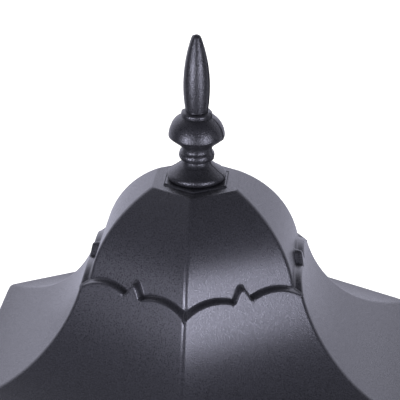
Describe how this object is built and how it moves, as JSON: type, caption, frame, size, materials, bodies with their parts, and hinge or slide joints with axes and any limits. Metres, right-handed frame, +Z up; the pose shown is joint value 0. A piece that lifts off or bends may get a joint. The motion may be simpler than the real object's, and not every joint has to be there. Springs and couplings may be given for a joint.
{
  "type": "garden lamp post",
  "caption": "Post lantern for a garden: bell base, round post, glazed six-sided lantern and a domed, scalloped roof with a turned finial.",
  "frame": {"origin": "centre of the base's underside, on the ground", "axes": "+Z up along the post's axis; one corner of the six-sided roof points to -Y"},
  "size_m": [0.2, 0.2184, 1.0503],
  "materials": {
    "black_coat": "satin",
    "clear_glass": "gloss",
    "zinc_steel": "satin",
    "black_rubber": "matte",
    "white_ceramic": "gloss",
    "brass": "satin",
    "opal_bulb": "satin",
    "terminal_plastic": "matte"
  },
  "bodies": {
    "root": {"base": "black_coat", "post": "black_coat", "lantern_dish": "black_coat", "lantern_frame": "black_coat", "roof": "black_coat", "finial": "black_coat", "glazing_bead_1": "black_coat", "glazing_bead_2": "black_coat", "glazing_bead_3": "black_coat", "glazing_bead_4": "black_coat", "glazing_bead_5": "black_coat", "glazing_bead_6": "black_coat", "glass_pane_1": "clear_glass", "glass_pane_2": "clear_glass", "glass_pane_3": "clear_glass", "glass_pane_4": "clear_glass", "glass_pane_5": "clear_glass", "glass_pane_6": "clear_glass", "base_set_screws": "zinc_steel", "dish_set_screws": "zinc_steel", "terminal_screw": "zinc_steel", "earth_screw": "zinc_steel", "holder_bracket": "zinc_steel", "bracket_screws": "zinc_steel", "frame_screws": "zinc_steel", "bead_screws": "zinc_steel", "roof_studs": "zinc_steel", "roof_washers": "zinc_steel", "roof_nuts": "zinc_steel", "finial_stud": "zinc_steel", "finial_washer": "zinc_steel", "finial_nut": "zinc_steel", "cable_grommet": "black_rubber", "dish_gasket": "black_rubber", "finial_seal": "black_rubber", "lamp_holder": "white_ceramic", "holder_shell": "brass", "holder_contact": "brass", "holder_rivet": "brass", "light_bulb": "opal_bulb", "terminal_block": "terminal_plastic"}
  },
  "joints": []
}
